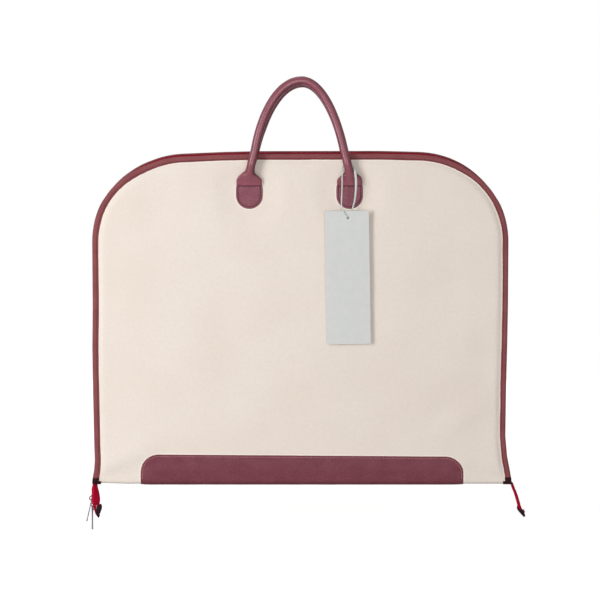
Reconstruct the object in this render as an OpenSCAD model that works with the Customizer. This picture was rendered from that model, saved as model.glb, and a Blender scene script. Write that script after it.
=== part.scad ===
// Fold-over garment bag: two flat canvas halves joined by a narrow strip along the bottom fold.
// A zip runs from one end of the fold, up, over the top and down to the other end.
// Millimetres. +X right, +Z up, -Y is the front face. The origin is under the middle of the fold.

/* [Bag] */
// Width over the side bindings
bag_w = 600; // [480:1:700]
// Height from the underside of the fold to the top edge
bag_h = 484; // [400:1:600]
// Depth of the closed bag over the leather
bag_d = 32; // [30:1:50]
// Radius of the two upper corners
corner_r = 130; // [60:1:150]
// Outer radius of the two creases of the fold
fold_r = 6; // [5:0.5:8]

/* [Panels] */
// Thickness of the canvas
canvas_t = 1; // [0.8:0.1:1.5]
// Thickness of the foam padding
pad_t = 1.8; // [1:0.1:2.5]
// Thickness of the lining
lining_t = 0.6; // [0.4:0.1:1]

/* [Leather trim] */
// Thickness of the binding and the base band
leather_t = 1; // [0.8:0.1:1.4]
// Width of the binding on the face of the bag
binding_w = 8; // [6:0.5:12]
// Length of the base band
band_w = 467; // [300:1:470]
// Height of the base band on the face of the bag
band_h = 43; // [30:1:60]
// Corner radius of the base band
band_r = 23; // [10:1:28]
// Width of the binding pieces at the ends of the fold
end_binding_w = 12; // [10:0.5:16]

/* [Zip] */
// Thickness of the zip tape
tape_t = 0.7; // [0.5:0.1:1]
// Width of the closed chain of teeth
chain_w = 7.2; // [6.4:0.1:8]
// Thickness of the chain
chain_t = 2.9; // [2.4:0.1:3.2]
// How far the chain stands out past the binding
chain_out = 1; // [0.6:0.1:1.5]
// Space between the two rows, where the slider post runs
chain_gap = 1.6; // [1.5:0.1:2]
// Width of the tape that folds out beyond the chain on the tails
tail_fold = 7.2; // [5:0.1:9]
// Length of the left tail
left_tail_l = 44; // [42:1:60]
// Length of the right tail
right_tail_l = 42; // [30:1:60]
// Outward slant of the right tail in degrees
right_tail_slant = 20; // [10:1:24]

/* [Sliders] */
// Length of a slider body
slider_l = 10; // [8:0.5:12]
// Plate thickness of a slider
slider_plate = 1.2; // [1:0.1:1.5]
// Depth of the middle of slider A below the fold
slider_a_drop = 18; // [15:0.5:18]
// Depth of the middle of slider B below the fold
slider_b_drop = 32.5; // [32.5:0.5:34]
// Width of the crown that holds the pull
crown_w = 3; // [2.4:0.1:3.2]
// Radius of the cross bar of the pull
pull_bar_r = 0.8; // [0.7:0.05:0.9]
// Length of a pull from its cross bar
pull_l = 34; // [26:1:40]
// Width of a pull
pull_w = 5.6; // [5.2:0.1:7]
// Thickness of a pull
pull_t = 1.1; // [0.9:0.1:1.3]
// Outward rest angle of the pull of slider A in degrees
pull_a_rest = 15; // [15:1:25]

/* [Handles] */
// Diameter of the rolled leather tube
tube_d = 13; // [10:0.5:16]
// Diameter of the rope core
core_d = 7.6; // [5:0.1:8]
// Height of the top of the handles above the bag
handle_h = 110; // [90:1:140]
// Depth of the handle hinge below the top edge of the bag
neck_drop = 15; // [12:1:20]
// Distance from the bag face to the middle of the tube at the hinge
neck_out = 10; // [9.5:0.5:14]
// Bend radius of the tube at the top
apex_r = 40; // [34:1:46]
// Angle of the tight bend on each side of the top in degrees
apex_angle = 62; // [56:1:66]
// Bend radius of the legs
leg_r = 361; // [300:1:420]
// Distance from the middle plane to the tube centre at the top
apex_y = 8; // [7.8:0.1:10]
// Sideways place of the handles on the bag
handle_x = -1.5; // [-5:0.5:5]
// Width of the sewn patches
patch_w = 39; // [30:1:46]
// Height of the sewn patches
patch_h = 55; // [48:1:70]
// Thickness of the sewn patches
patch_t = 1.6; // [1.2:0.1:2.4]
// Distance from the top edge of the bag down to the bottom of the patches
patch_z = 81; // [78:1:140]
// Thickness of the flat end of the neck
spoon_t = 1.8; // [1.4:0.1:2.4]

/* [Hang tag] */
// Width of the card
tag_w = 64; // [45:1:80]
// Height of the card
tag_h = 193; // [120:1:220]
// Thickness of the card
tag_t = 0.6; // [0.4:0.1:1]
// Radius of the hole in the card
tag_hole_r = 2; // [1.8:0.1:3]
// Distance from the top edge of the bag down to the hole in the card
tag_drop = 93; // [90:1:110]
// Distance from the top of the card to its hole
tag_hole_drop = 10; // [8:0.5:14]
// Diameter of the string
string_d = 1.5; // [1.2:0.1:1.8]

/* [Inside] */
// Width of the garment strap
strap_w = 25; // [15:1:40]
// Thickness of the garment strap
strap_t = 1.2; // [0.8:0.1:1.6]
// Height of the strap above the underside of the fold
strap_z = 235; // [150:1:300]
// Distance between the sewn ends of the strap
strap_span = 440; // [300:1:480]
// Length of the buckle
buckle_l = 46; // [36:1:60]
// Radius of the hole of the hanger eyelet
eyelet_r = 5; // [4:0.1:6]
// Width of the hanger tab
hanger_w = 32; // [26:1:40]
// Height of the hanger tab
hanger_h = 42; // [34:1:50]
// Thickness of the hanger tab
hanger_t = 2; // [1.6:0.1:2.4]

/* [Fits] */
// Clearance between pieces that move past each other
gap = 0.3; // [0.2:0.05:0.4]

/* [Hidden] */

$fn = 96;
past = 1;                                  // how far a cutter runs past what it cuts
leather = "#7a4650";
canvas = "#ecdfd5";
red = "#b0122f";
steel = "#c8c8cc";

// Depths on the front half, from the outside in
face_y = -bag_d / 2;
canvas_y = face_y + leather_t;
pad_y = canvas_y + canvas_t;
lining_y = pad_y + pad_t;
inside_y = lining_y + lining_t;
leg_y = inside_y + leather_t;              // inner face of the binding
half_z = fold_r + gap;                     // lower edge of both halves

// Chain and tape, as depths in from the outline of the bag
chain_in = chain_t - chain_out;
tape_in = chain_in + tape_t;
row_y = chain_gap / 2;
tape_y = row_y + 0.4;

// Slider section, measured along X from the edge of the bag, outward negative
cavity_out = -chain_out - gap;
plate_out = cavity_out - slider_plate;
inner_plate = tape_in + gap;
slider_in = inner_plate + slider_plate;
flange_in = chain_in - gap;
slider_half_w = chain_w / 2 + gap + 1;    // over side walls 1 mm thick
notch_half_w = slider_half_w + 0.5;
notch_in = slider_in + 0.5;
tail_half_w = slider_half_w + 0.2;
inner_half_w = tail_half_w - tape_t - gap;
crown_x = plate_out - pull_bar_r - 1.2;
crown_r = pull_bar_r + gap + 0.9;
tail_top = -0.4;
left_end = tail_top - left_tail_l;
right_end = tail_top - right_tail_l;
tab_back = tape_in + tail_fold + 1.4;      // back edge of the left tab
bridge_h = 3;                              // bridge that closes the chain at the end

// Handle, in its own leaning plane: the middle of the hinge is (0, 0)
neck_z = bag_h - neck_drop;
neck_y = face_y - neck_out;
apex_z = bag_h + handle_h - tube_d / 2;
lean = atan2(-neck_y - apex_y, apex_z - neck_z);
rise = (apex_z - neck_z) / cos(lean);
leg_end = acos(cos(apex_angle) - (rise - apex_r * (1 - cos(apex_angle))) / leg_r);
half_span = apex_r * sin(apex_angle) + leg_r * (sin(leg_end) - sin(apex_angle));
neck_turn = 90 - leg_end;                  // slope of the leg at the hinge
patch_x = half_span + 1.7;
patch_low = bag_h - patch_z;
seam_z = patch_low + patch_h - patch_w / 2; // across the widest part of the patch
stem_z = neck_z - 10;
leg_slim = 0.05;
leg_lap = 0.05;                            // in degrees of the leg bend
ball_r = tube_d / 2 - 0.15;                // ball that closes each end of the tube
swing = 120;                               // travel of a handle
leg_room = 0.12;                           // extra room in the neck for the leg as it swings

// Hang tag
tag_x = 66.5;
tag_y = -24;
tag_hole_x = 68;
tag_hole_z = bag_h - tag_drop;

// Route of the string, from the knot behind the card, round the right neck and back to the
// knot, with Z measured from the top edge of the bag
string_route = [
    [68, -22.2, -93.6], [68, -23.4, -93], [67.6, -25.4, -92.6], [65, -26, -90],
    [61.5, -26.4, -84], [58.5, -26.8, -76], [57.4, -27, -66], [57.6, -27, -54],
    [58.4, -26.8, -42], [59.4, -26.2, -32], [60, -24.2, -24], [61, -21, -19.6],
    [64.4, -18.2, -18.4], [68.6, -17.6, -18.2], [72.8, -18.2, -18.4], [76.6, -21, -19.8],
    [78.8, -24.8, -25], [80.8, -27.4, -34], [81.2, -27.4, -44], [80.6, -26.2, -54],
    [79, -24.4, -66], [76.4, -22.6, -76], [73, -22.2, -86], [69.6, -22.1, -92.4]];

// Shapes shared by several pieces --------------------------------------------------------

// Extrudes an outline drawn in X and Z from depth y0 to depth y1
module plate(y0, y1) translate([0, y1, 0]) rotate([90, 0, 0]) linear_extrude(y1 - y0) children();

// Extrudes an outline drawn in Y and Z from x0 to x1
module bar(x0, x1) translate([x0, 0, 0]) rotate([90, 0, 90]) linear_extrude(x1 - x0) children();

// Turns a piece of the front half into its twin on the back half
module on_half(back) mirror([0, back ? 1 : 0, 0]) children();

module on_side(right) mirror([right ? 1 : 0, 0, 0]) children();

// Outline of one half, moved in from the edge of the bag, from z0 up
module outline(inset, z0) {
    w = bag_w / 2 - inset;
    r = corner_r - inset;
    top = bag_h - inset;
    translate([-w, z0]) square([2 * w, top - r - z0]);
    translate([r - w, z0]) square([2 * (w - r), top - z0]);
    for (s = [-1, 1]) translate([s * (w - r), top - r]) circle(r);
}

// Strip that follows the sides and the top between two insets
module rim(outer, inner) difference() {
    outline(outer, half_z);
    outline(inner, half_z - past);
}

// Section of the fold down to depth o: flat in the middle, a quarter round at each crease
module fold_profile(o, top) {
    middle = bag_d / 2 - fold_r;
    translate([-middle, o]) square([2 * middle, top - o]);
    for (s = [-1, 1]) translate([s * middle, fold_r]) circle(fold_r - o);
}

// Section of one layer of the fold, from depth o in to depth o + t
module fold_layer(o, t) difference() {
    fold_profile(o, fold_r);
    translate([-bag_d, fold_r]) square([2 * bag_d, 2 * fold_r]);
    fold_profile(o + t, fold_r + past);
}

// Slots at the ends of the fold, where the zip runs out
module zip_notches() for (s = [-1, 1])
    translate([s * (bag_w / 2 - notch_in / 2 + past / 2), 0, fold_r / 2])
        cube([notch_in + past, 2 * notch_half_w, 3 * fold_r], center = true);

// Layers of the halves -------------------------------------------------------------------

module panel_layer(back, y0, y1) on_half(back) plate(y0, y1) outline(leather_t, half_z);

module binding(back) color(leather) on_half(back) difference() {
    plate(face_y, leg_y) rim(0, binding_w);
    plate(canvas_y, inside_y) rim(leather_t, binding_w + past);
}

module zip_tape(back) color(red) on_half(back) plate(leg_y, -tape_y) rim(chain_in, tape_in);

module zip_chain(back) color(steel) on_half(back)
    plate(-chain_w / 2, -row_y) rim(-chain_out, chain_in);

module base_band(back) color(leather) on_half(back) plate(face_y, canvas_y) difference() {
    union() {
        translate([-band_w / 2, half_z]) square([band_w, band_h - band_r - half_z]);
        translate([band_r - band_w / 2, half_z]) square([band_w - 2 * band_r, band_h - half_z]);
        for (s = [-1, 1]) translate([s * (band_w / 2 - band_r), band_h - band_r]) circle(band_r);
    }
    translate([-band_w / 2, half_z - band_r]) square([band_w, band_r]);
}

// Fold -----------------------------------------------------------------------------------

module fold_canvas() color(canvas) difference() {
    bar(-bag_w / 2 + leather_t, bag_w / 2 - leather_t) fold_layer(leather_t, canvas_t);
    zip_notches();
}

module fold_lining() color("#5c2f38") difference() {
    bar(-bag_w / 2 + leather_t, bag_w / 2 - leather_t)
        fold_layer(leather_t + canvas_t, lining_t);
    zip_notches();
}

module fold_base_band() color(leather) bar(-band_w / 2, band_w / 2) fold_layer(0, leather_t);

module fold_binding(right) color(leather) on_side(right) difference() {
    union() {
        bar(-bag_w / 2, end_binding_w - bag_w / 2) fold_layer(0, leather_t);
        bar(-bag_w / 2, leather_t - bag_w / 2)
            fold_layer(0, leather_t + canvas_t + lining_t);
    }
    zip_notches();
}

// Handles --------------------------------------------------------------------------------

// Places a piece at the hinge of the handle of one half
module at_neck(back) on_half(back) translate([handle_x, neck_y, neck_z]) children();

module patch_outline() {
    translate([-patch_w / 2, patch_low + patch_w / 2]) square([patch_w, patch_h - patch_w]);
    translate([0, patch_low + patch_w / 2]) circle(patch_w / 2);
    translate([0, seam_z]) circle(patch_w / 2);
}

module patch(back, side) color(leather) on_half(back)
    translate([handle_x + side * patch_x, 0, 0])
        plate(canvas_y - patch_t, canvas_y) patch_outline();

// Flat end sewn over the patch, swelling into a round stem under the hinge
module neck(back, side) color(leather) on_half(back) translate([handle_x, 0, 0])
    on_side(side < 0) difference() {
        union() {
            hull() {
                translate([patch_x, 0, 0])
                    plate(canvas_y - patch_t - spoon_t, canvas_y - patch_t) intersection() {
                        offset(delta = -1) patch_outline($fn = 32);
                        translate([-patch_w / 2, seam_z]) square([patch_w, patch_h]);
                    }
                stem_end(half_span + 0.8, neck_y + 1, stem_z - 4);
            }
            hull() {
                stem_end(half_span + 0.8, neck_y + 1, stem_z - 4);
                stem_end(half_span, neck_y, neck_z - 5);
            }
        }
        translate([half_span, neck_y, neck_z]) {
            sphere(tube_d / 2 + gap);
            for (a = [0, swing]) rotate([a - lean, 0, 0]) rotate([0, -neck_turn, 0])
                cylinder(h = 2 * neck_drop, r = tube_d / 2 + gap + leg_room);
        }
    }

module stem_end(x, y, z) translate([x, y, z]) sphere(tube_d / 2, $fn = 32);

// Part of a torus in the X-Z plane, between two angles from straight up
module bend(r, from, to, rod_r) rotate([90, 0, 0]) rotate([0, 0, 90 - to])
    rotate_extrude(angle = to - from) translate([r, 0]) circle(rod_r, $fn = 48);

// The legs are a hair slimmer than the top bend and start just inside its ends
module handle_run(rod_r) {
    translate([0, 0, rise - apex_r]) bend(apex_r, -apex_angle, apex_angle, rod_r);
    for (s = [0, 1]) mirror([s, 0, 0])
        translate([(apex_r - leg_r) * sin(apex_angle), 0,
                   rise - apex_r + (apex_r - leg_r) * cos(apex_angle)])
            bend(leg_r, apex_angle - leg_lap, leg_end, rod_r - leg_slim);
}

module handle_cover(back) color(leather) at_neck(back) rotate([-lean, 0, 0]) difference() {
    union() {
        handle_run(tube_d / 2);
        for (s = [-1, 1]) translate([s * half_span, 0, 0]) sphere(ball_r);
    }
    handle_run(core_d / 2 + 0.1);
}

module handle_core(back) color("#cdb894") at_neck(back) rotate([-lean, 0, 0])
    handle_run(core_d / 2);

// Zip tails ------------------------------------------------------------------------------

// All tail pieces are drawn on the left, with X measured from the edge of the bag
module at_edge(right) on_side(right) translate([-bag_w / 2, 0, 0]) children();

// Two rows of teeth down to the bridge that closes them
module tail_rows(end) {
    for (s = [-1, 1]) translate([-chain_out, s > 0 ? row_y : -chain_w / 2, end + bridge_h])
        cube([chain_t, chain_w / 2 - row_y, tail_top - end - bridge_h]);
    translate([-chain_out, -chain_w / 2, end + bridge_h]) cube([chain_t, chain_w, bridge_h]);
}

module tail_strip(end) difference() {
    translate([chain_in, -tail_half_w, end]) cube([tape_t, 2 * tail_half_w, tail_top - end]);
    translate([chain_in - past, -tape_y, end + bridge_h + 1])
        cube([tape_t + 2 * past, 2 * tape_y, tail_top - end]);
}

// Tape that folds back from the edges of the strip, narrow at the top and the bottom
module tail_wings() for (s = [0, 1]) mirror([0, s, 0])
    plate(-tail_half_w, tape_t - tail_half_w)
        polygon([[tape_in, tail_top - 3], [tape_in + tail_fold, left_end + left_tail_l / 2],
            [tape_in + tail_fold, left_end + left_tail_l / 3],
            [tape_in + tail_fold / 2, left_end], [tape_in, left_end]]);

module left_tail_tape() color(red) at_edge(false) {
    tail_strip(left_end);
    tail_wings();
}

module left_tail_chain() color(steel) at_edge(false) tail_rows(left_end);

// Folded leather end, sewn over both faces of the tape
module left_tail_tab() color("#3a141b") at_edge(false) difference() {
    plate(-tail_half_w - leather_t, tail_half_w + leather_t)
        polygon([[chain_in - 0.5, left_end + 2], [chain_in, left_end - 1],
            [tab_back - 2.9, left_end - 4.4], [tab_back, left_end + 7],
            [tab_back - 1.4, left_end + 13.2]]);
    plate(-tail_half_w, tail_half_w) translate([chain_in - past, left_end])
        square([tab_back, left_tail_l]);
}

// The right tail leans out from the notch
module right_lean() at_edge(true) translate([chain_in, 0, tail_top])
    rotate([0, right_tail_slant, 0]) translate([-chain_in, 0, -tail_top]) children();

module right_tail_tape() color(red) right_lean() tail_strip(right_end);

module right_tail_chain() color(steel) right_lean() tail_rows(right_end);

module right_tail_tab() color("#3a141b") right_lean() difference() {
    plate(-tail_half_w - leather_t, tail_half_w + leather_t)
        translate([chain_in - 1.6, right_end - 4]) square([tape_t + 3.2, 12]);
    plate(-tail_half_w, tail_half_w)
        translate([chain_in, right_end]) square([tape_t, right_tail_l]);
    plate(-chain_w / 2 - gap, chain_w / 2 + gap)
        translate([chain_in - 2, right_end + 2]) square([2.01, right_tail_l]);
}

// Sliders and pulls ----------------------------------------------------------------------

module slider(drop) color(steel) at_edge(false) translate([0, 0, -drop]) {
    difference() {
        translate([plate_out, -slider_half_w, -slider_l / 2])
            cube([flange_in - plate_out, 2 * slider_half_w, slider_l]);
        translate([cavity_out, -chain_w / 2 - gap, -slider_l / 2 - past])
            cube([flange_in - cavity_out + past, chain_w + 2 * gap, slider_l + 2 * past]);
    }
    translate([inner_plate, -inner_half_w, -slider_l / 2])
        cube([slider_plate, 2 * inner_half_w, slider_l]);
    translate([cavity_out - 0.1, gap - row_y, -slider_l / 2 + 2])
        cube([inner_plate - cavity_out + 0.2, 2 * (row_y - gap), slider_l - 4]);
    difference() {
        union() {
            translate([crown_x, 0, 0]) rotate([90, 0, 0])
                cylinder(h = crown_w, r = crown_r, center = true);
            translate([crown_x, -crown_w / 2, -crown_r])
                cube([plate_out - crown_x + 0.1, crown_w, 2 * crown_r]);
        }
        translate([crown_x, 0, 0]) rotate([90, 0, 0])
            cylinder(h = crown_w + past, r = pull_bar_r + gap, center = true);
    }
}

// Cross bar, two arms beside the crown and a flat tongue
module pull(drop, rest) color("#a9a9ad") at_edge(false) translate([crown_x, 0, -drop])
    rotate([0, rest, 0]) {
        rotate([90, 0, 0]) cylinder(h = pull_w, r = pull_bar_r, center = true);
        for (s = [-1, 1]) translate([-pull_t / 2, s > 0 ? crown_w / 2 + gap : -pull_w / 2, -7])
            cube([pull_t, pull_w / 2 - crown_w / 2 - gap, 7]);
        translate([-pull_t / 2, -pull_w / 2, -pull_l + pull_w / 2])
            cube([pull_t, pull_w, pull_l - pull_w / 2 - 6]);
        translate([0, 0, -pull_l + pull_w / 2]) rotate([0, 90, 0])
            cylinder(h = pull_t, r = pull_w / 2, center = true);
    }

// Hang tag -------------------------------------------------------------------------------

module tag_card() color("#d3d4d1") difference() {
    plate(tag_y - tag_t / 2, tag_y + tag_t / 2)
        translate([tag_x - tag_w / 2, tag_hole_z + tag_hole_drop - tag_h]) square([tag_w, tag_h]);
    translate([tag_hole_x, tag_y, tag_hole_z]) rotate([90, 0, 0])
        cylinder(h = tag_t + past, r = tag_hole_r, center = true);
}

// A curve through the points of a route, n steps from each point to the next
function at(p, i) = p[max(0, min(len(p) - 1, i))];
function between(p, i, t) = 0.5 * (2 * at(p, i) + t * (at(p, i + 1) - at(p, i - 1))
    + t * t * (2 * at(p, i - 1) - 5 * at(p, i) + 4 * at(p, i + 1) - at(p, i + 2))
    + t * t * t * (3 * at(p, i) - at(p, i - 1) - 3 * at(p, i + 1) + at(p, i + 2)));
function curve(p, n) = [for (i = [0:len(p) - 2], k = [0:n - 1]) between(p, i, k / n),
    p[len(p) - 1]];
function unit(v) = v / norm(v);
function ring(c, along, r, n) = let (side = unit(cross(along, [0, 0.2, 1])),
    up = cross(side, along))
    [for (k = [0:n - 1]) c + r * (cos(360 * k / n) * side + sin(360 * k / n) * up)];

module tube(p, r, sides) {
    last = len(p) - 1;
    points = [for (i = [0:last]) each ring(p[i], unit(at(p, i + 1) - at(p, i - 1)), r, sides)];
    walls = [for (i = [0:last - 1], k = [0:sides - 1])
        let (a = i * sides + k, b = i * sides + (k + 1) % sides)
        each [[a, b, b + sides], [a, b + sides, a + sides]]];
    polyhedron(points, concat([[for (k = [sides - 1:-1:0]) k]], walls,
        [[for (k = [0:sides - 1]) last * sides + k]]), convexity = 6);
}

module tag_string() color("#cddcd6") translate([0, 0, bag_h])
    tube(curve(string_route, 2), string_d / 2, 8);

module tag_knot() color("#cddcd6")
    translate([tag_hole_x + 0.6, tag_y + 3.6, tag_hole_z - 2.4]) sphere(1.7);

// Inside ---------------------------------------------------------------------------------

// Leather tab that hangs clear of the lining from a thicker, sewn top end
module hanger_tab() color("#5c2f38") difference() {
    translate([-hanger_w / 2, 0, bag_h - binding_w - hanger_h]) {
        translate([0, -inside_y - 2 * hanger_t, 0]) cube([hanger_w, hanger_t, hanger_h]);
        translate([0, -inside_y - 2 * hanger_t, hanger_h - 6])
            cube([hanger_w, 2 * hanger_t, 6 - gap]);
    }
    translate([0, -inside_y, bag_h - binding_w - hanger_h + hanger_w / 2])
        rotate([90, 0, 0]) cylinder(h = 6 * hanger_t, r = eyelet_r + 1.2, center = true);
}

module hanger_eyelet() color(steel)
    translate([0, -inside_y - hanger_t, bag_h - binding_w - hanger_h + hanger_w / 2])
        rotate([90, 0, 0]) difference() {
            union() {
                cylinder(h = hanger_t, r = eyelet_r + 1.2);
                translate([0, 0, hanger_t]) cylinder(h = 0.6, r = eyelet_r + 3);
            }
            translate([0, 0, -past]) cylinder(h = hanger_t + 3 * past, r = eyelet_r);
        }

// Webbing sewn to the lining at its outer end
module garment_strap(side) color("#2c2426")
    translate([side > 0 ? buckle_l / 2 - 8 : -strap_span / 2, -inside_y - strap_t, strap_z])
        cube([strap_span / 2 - buckle_l / 2 + 8, strap_t, strap_w]);

module strap_buckle() color("#1d1d1f") difference() {
    translate([-buckle_l / 2, -inside_y - strap_t - 3, strap_z - 4])
        cube([buckle_l, strap_t + 3, strap_w + 8]);
    for (s = [-1, 1]) translate([s * (buckle_l / 2 - 4 + past / 2), -inside_y - strap_t / 2 + past / 2,
        strap_z + strap_w / 2]) cube([8 + past, strap_t + past, strap_w], center = true);
}

color(canvas) panel_layer(false, canvas_y, pad_y);  // front_canvas
color("#e8e4da") panel_layer(false, pad_y, lining_y);  // front_pad
color("#5c2f38")  // front_lining
    panel_layer(false, lining_y, inside_y);
binding(false);  // front_binding
zip_tape(false);  // front_zip_tape
zip_chain(false);  // front_zip_chain
base_band(false);  // front_base_band
patch(false, -1);  // front_patch_left
patch(false, 1);  // front_patch_right
neck(false, -1);  // front_neck_left
neck(false, 1);  // front_neck_right
handle_cover(false);  // front_handle_cover
handle_core(false);  // front_handle_core
color(canvas) panel_layer(true, canvas_y, pad_y);  // back_canvas
color("#e8e4da") panel_layer(true, pad_y, lining_y);  // back_pad
color("#5c2f38")  // back_lining
    panel_layer(true, lining_y, inside_y);
binding(true);  // back_binding
zip_tape(true);  // back_zip_tape
zip_chain(true);  // back_zip_chain
base_band(true);  // back_base_band
patch(true, -1);  // back_patch_left
patch(true, 1);  // back_patch_right
neck(true, -1);  // back_neck_left
neck(true, 1);  // back_neck_right
handle_cover(true);  // back_handle_cover
handle_core(true);  // back_handle_core
fold_canvas();
fold_lining();
fold_base_band();
fold_binding(false);  // fold_binding_left
fold_binding(true);  // fold_binding_right
left_tail_tape();
left_tail_chain();
left_tail_tab();
right_tail_tape();
right_tail_chain();
right_tail_tab();
slider(slider_a_drop);  // slider_a
slider(slider_b_drop);  // slider_b
pull(slider_a_drop, pull_a_rest);  // pull_a
pull(slider_b_drop, 0);  // pull_b
tag_card();
tag_string();
tag_knot();
hanger_tab();
hanger_eyelet();
garment_strap(-1);  // garment_strap_left
garment_strap(1);  // garment_strap_right
strap_buckle();
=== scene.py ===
"""Looks of the fold-over garment bag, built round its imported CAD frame.

Lengths inside the script are millimetres in the row frame; add() turns them into metres.
"""
import math

import bmesh
import bpy
import numpy as np
from mathutils import Matrix, Vector, noise


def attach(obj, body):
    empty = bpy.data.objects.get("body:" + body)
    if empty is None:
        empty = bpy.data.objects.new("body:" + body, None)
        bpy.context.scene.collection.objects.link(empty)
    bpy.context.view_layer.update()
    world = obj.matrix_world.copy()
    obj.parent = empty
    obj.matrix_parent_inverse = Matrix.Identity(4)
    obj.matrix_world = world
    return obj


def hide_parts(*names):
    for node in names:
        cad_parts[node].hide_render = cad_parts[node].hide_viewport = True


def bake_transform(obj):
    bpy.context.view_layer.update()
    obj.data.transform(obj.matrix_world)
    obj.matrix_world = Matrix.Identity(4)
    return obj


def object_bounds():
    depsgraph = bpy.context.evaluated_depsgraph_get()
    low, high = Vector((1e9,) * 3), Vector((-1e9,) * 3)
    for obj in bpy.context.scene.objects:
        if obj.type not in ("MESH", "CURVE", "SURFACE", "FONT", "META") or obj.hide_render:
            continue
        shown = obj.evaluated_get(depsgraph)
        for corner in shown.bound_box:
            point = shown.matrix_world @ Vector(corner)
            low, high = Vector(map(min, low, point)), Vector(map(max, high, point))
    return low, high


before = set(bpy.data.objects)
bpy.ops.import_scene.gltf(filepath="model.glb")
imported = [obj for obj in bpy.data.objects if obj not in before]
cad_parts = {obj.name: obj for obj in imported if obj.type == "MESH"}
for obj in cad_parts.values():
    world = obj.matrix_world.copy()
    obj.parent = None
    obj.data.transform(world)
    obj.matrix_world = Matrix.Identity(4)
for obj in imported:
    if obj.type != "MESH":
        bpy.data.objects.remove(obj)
CAD_BOX = [list(corner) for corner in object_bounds()]
MM = 0.001

# ---- sizes of the bag, as in the part's source ----
HALF_W, TOP, CORNER = 300.0, 484.0, 130.0
CORNER_X, CORNER_Z = HALF_W - CORNER, TOP - CORNER
FACE, FOLD_R, SPINE = -16.0, 6.0, 10.0
HALF_Z = 6.3                        # where a half starts over the fold strip
SKIN = 1.0                          # how deep the modelled canvas lies under the face
BINDING_W = 8.0
TOOTH_PITCH = 3.0                   # of one half of the zip
CREASE = math.pi / 2 * 5.5          # length of the crease along the canvas
BAND_HALF, BAND_H, BAND_R, BAND_X, BAND_TILT = 235.0, 43.8, 26.5, 2.2, 1.7 / 234
BAND_STITCH = 2.7                   # from the edge of the band to its stitches
PATCH_X, PATCH_R, PATCH_LOW, PATCH_HIGH = 72.25, 19.2, 422.4, 432.5
HANDLE_X, NECK_Y, NECK_Z = -1.5, -26.0, 469.0
NECK_TOP = 486.4                    # where the curved part of a handle's leg starts
APEX_Z, APEX_Y = 587.5, -8.0
LEAN = math.atan2(-NECK_Y + APEX_Y, APEX_Z - NECK_Z)
TUBE_R = 6.2
PATCH_STITCH = 3.2                  # from the edge of a patch to its stitches
SEAM_Z = 437.4                      # stitches across a patch, under the foot of the handle
SLIDER_A_Z, SLIDER_B_Z, PULL_X = -20.0, -34.0, -304.5
STRAP_Z, STRAP_END, BUCKLE_HALF = (235, 260), 220.0, 13.0
STRING = [
    (68, -22.2, 390.4), (68, -23.4, 391), (67.6, -25.4, 391.4), (65, -26, 394),
    (61.5, -26.4, 400), (58.5, -26.8, 408), (57.4, -27, 418), (57.6, -27, 430),
    (58.4, -26.8, 442), (59.4, -26.2, 452), (60, -24.2, 460), (61, -21, 464.4),
    (64.4, -18.2, 465.6), (68.6, -17.6, 465.8), (72.8, -18.2, 465.6), (76.6, -21, 464.2),
    (78.8, -24.8, 459), (80.8, -27.4, 450), (81.2, -27.4, 440), (80.6, -26.2, 430),
    (79, -24.4, 418), (76.4, -22.6, 408), (73, -22.2, 398), (69.6, -22.1, 391.6)]


# ---- small helpers ----
def smooth(t):
    t = min(max(t, 0.0), 1.0)
    return t * t * (3 - 2 * t)


def bump(t):
    return math.exp(-t * t)


def grain(x, y, z=0.0):
    return noise.noise(Vector((x, y, z)))


def steps(a, b, size):
    n = max(1, round(abs(b - a) / size))
    return [a + (b - a) * i / n for i in range(n + 1)]


def interp(table, v):
    return float(np.interp(v, [t[0] for t in table], [t[1] for t in table]))


def circle(n):
    """The angles of n even steps round a full turn."""
    return np.linspace(0, 2 * math.pi, n, endpoint=False)


def unit(v):
    return v / np.linalg.norm(v)


def heading(path, i):
    """Unit direction of a line of points at its point i."""
    return unit(path[min(i + 1, len(path) - 1)] - path[max(i - 1, 0)])


def around(points):
    """Each point of a closed line with the next one."""
    return zip(points, points[1:] + points[:1])


def spline(points, n):
    """A smooth curve through the points, n steps from each one to the next."""
    p = [np.array(q, float) for q in points]
    at = lambda i: p[min(max(i, 0), len(p) - 1)]
    out = []
    for i in range(len(p) - 1):
        a, b, c, d = at(i - 1), at(i), at(i + 1), at(i + 2)
        for k in range(n):
            t = k / n
            out.append(0.5 * (2 * b + t * (c - a) + t * t * (2 * a - 5 * b + 4 * c - d)
                              + t ** 3 * (3 * b - a - 3 * c + d)))
    return out + [p[-1]]


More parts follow.
